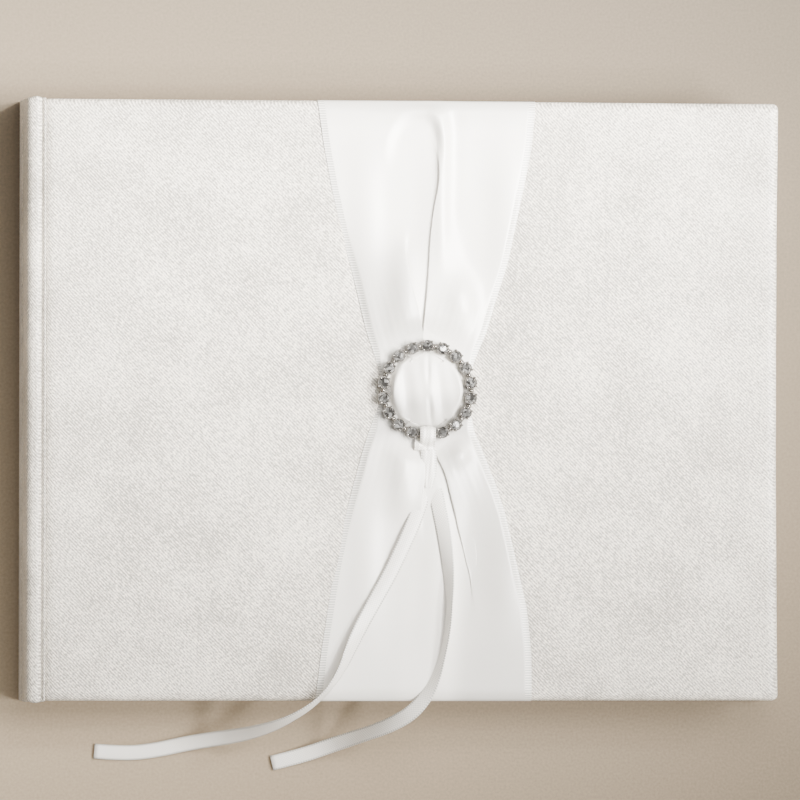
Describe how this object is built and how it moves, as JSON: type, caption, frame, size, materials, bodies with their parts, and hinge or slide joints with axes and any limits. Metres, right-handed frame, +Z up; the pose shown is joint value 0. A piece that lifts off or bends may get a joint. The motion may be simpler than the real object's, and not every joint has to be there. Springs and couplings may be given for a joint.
{
  "type": "wedding guest book",
  "caption": "Padded cloth-covered guest book with a gathered ribbon sash, a ring of cut stones and a narrow ribbon tie; covers and leaves turn.",
  "frame": {"origin": "under the middle of the closed book, on the face it lies on", "axes": "+X from the spine to the fore edge, +Y to the head, +Z up through the front cover"},
  "size_m": [0.222, 0.1953, 0.0302],
  "materials": {
    "board": "matt",
    "wadding": "soft",
    "cover_cloth": "shimmering twill",
    "endpaper": "smooth",
    "page_paper": "smooth",
    "satin_ribbon": "satin",
    "narrow_ribbon": "satin",
    "ring_metal": "bright",
    "stones": "cut and polished",
    "mull_cloth": "open weave",
    "liner_paper": "matt",
    "thread": "waxed",
    "band_silk": "ribbed"
  },
  "bodies": {
    "back_cover": {"back_board": "board", "back_padding": "wadding", "back_cloth": "cover_cloth", "back_pastedown": "endpaper", "back_joint_cloth": "cover_cloth"},
    "text_block": {"spine_board": "board", "spine_cloth": "cover_cloth", "spine_mull": "mull_cloth", "spine_liner": "liner_paper", "section_1": "page_paper", "section_2": "page_paper", "section_3": "page_paper", "section_4": "page_paper", "section_5": "page_paper", "section_6": "page_paper", "section_7": "page_paper", "section_8": "page_paper", "sewing_thread": "thread", "headband": "band_silk", "tailband": "band_silk", "back_flyleaf": "endpaper"},
    "front_cover": {"front_board": "board", "front_padding": "wadding", "front_cloth": "cover_cloth", "front_pastedown": "endpaper", "front_joint_cloth": "cover_cloth", "sash_ribbon": "satin_ribbon", "buckle_frame": "ring_metal", "buckle_crystals": "stones", "tie_knot": "narrow_ribbon", "tie_tail_left": "narrow_ribbon", "tie_tail_right": "narrow_ribbon"},
    "front_flyleaf": {"front_flyleaf": "endpaper"},
    "leaf_1": {"leaf_1": "page_paper"},
    "leaf_2": {"leaf_2": "page_paper"},
    "leaf_3": {"leaf_3": "page_paper"},
    "leaf_4": {"leaf_4": "page_paper"},
    "leaf_5": {"leaf_5": "page_paper"}
  },
  "joints": [
    {"name": "text_block_hinge", "type": "hinge", "parent": "back_cover", "child": "text_block", "pos_m": [-0.1088, 0, 0.00465], "axis": [0, -1, 0], "range_deg": [0, 90], "deforming": ["back_joint_cloth"]},
    {"name": "front_cover_hinge", "type": "hinge", "parent": "text_block", "child": "front_cover", "pos_m": [-0.1088, 0, 0.01931], "axis": [0, -1, 0], "range_deg": [0, 178], "deforming": ["front_joint_cloth"]},
    {"name": "front_flyleaf_turn", "type": "hinge", "parent": "text_block", "child": "front_flyleaf", "pos_m": [-0.1088, 0, 0.01931], "axis": [0, -1, 0], "range_deg": [0, 172.3]},
    {"name": "leaf_1_turn", "type": "hinge", "parent": "text_block", "child": "leaf_1", "pos_m": [-0.1088, 0, 0.01931], "axis": [0, -1, 0], "range_deg": [0, 162.5]},
    {"name": "leaf_2_turn", "type": "hinge", "parent": "text_block", "child": "leaf_2", "pos_m": [-0.1088, 0, 0.01931], "axis": [0, -1, 0], "range_deg": [0, 146.5]},
    {"name": "leaf_3_turn", "type": "hinge", "parent": "text_block", "child": "leaf_3", "pos_m": [-0.1088, 0, 0.01931], "axis": [0, -1, 0], "range_deg": [0, 121.5]},
    {"name": "leaf_4_turn", "type": "hinge", "parent": "text_block", "child": "leaf_4", "pos_m": [-0.1088, 0, 0.01931], "axis": [0, -1, 0], "range_deg": [0, 89.5]},
    {"name": "leaf_5_turn", "type": "hinge", "parent": "text_block", "child": "leaf_5", "pos_m": [-0.1088, 0, 0.01931], "axis": [0, -1, 0], "range_deg": [0, 50.3]}
  ],
  "couplings": [
    {"joint": "front_flyleaf_turn", "follows": "front_cover_hinge", "ratio": 0.965},
    {"joint": "leaf_1_turn", "follows": "front_cover_hinge", "ratio": 0.91},
    {"joint": "leaf_2_turn", "follows": "front_cover_hinge", "ratio": 0.82},
    {"joint": "leaf_3_turn", "follows": "front_cover_hinge", "ratio": 0.68},
    {"joint": "leaf_4_turn", "follows": "front_cover_hinge", "ratio": 0.5},
    {"joint": "leaf_5_turn", "follows": "front_cover_hinge", "ratio": 0.28}
  ]
}
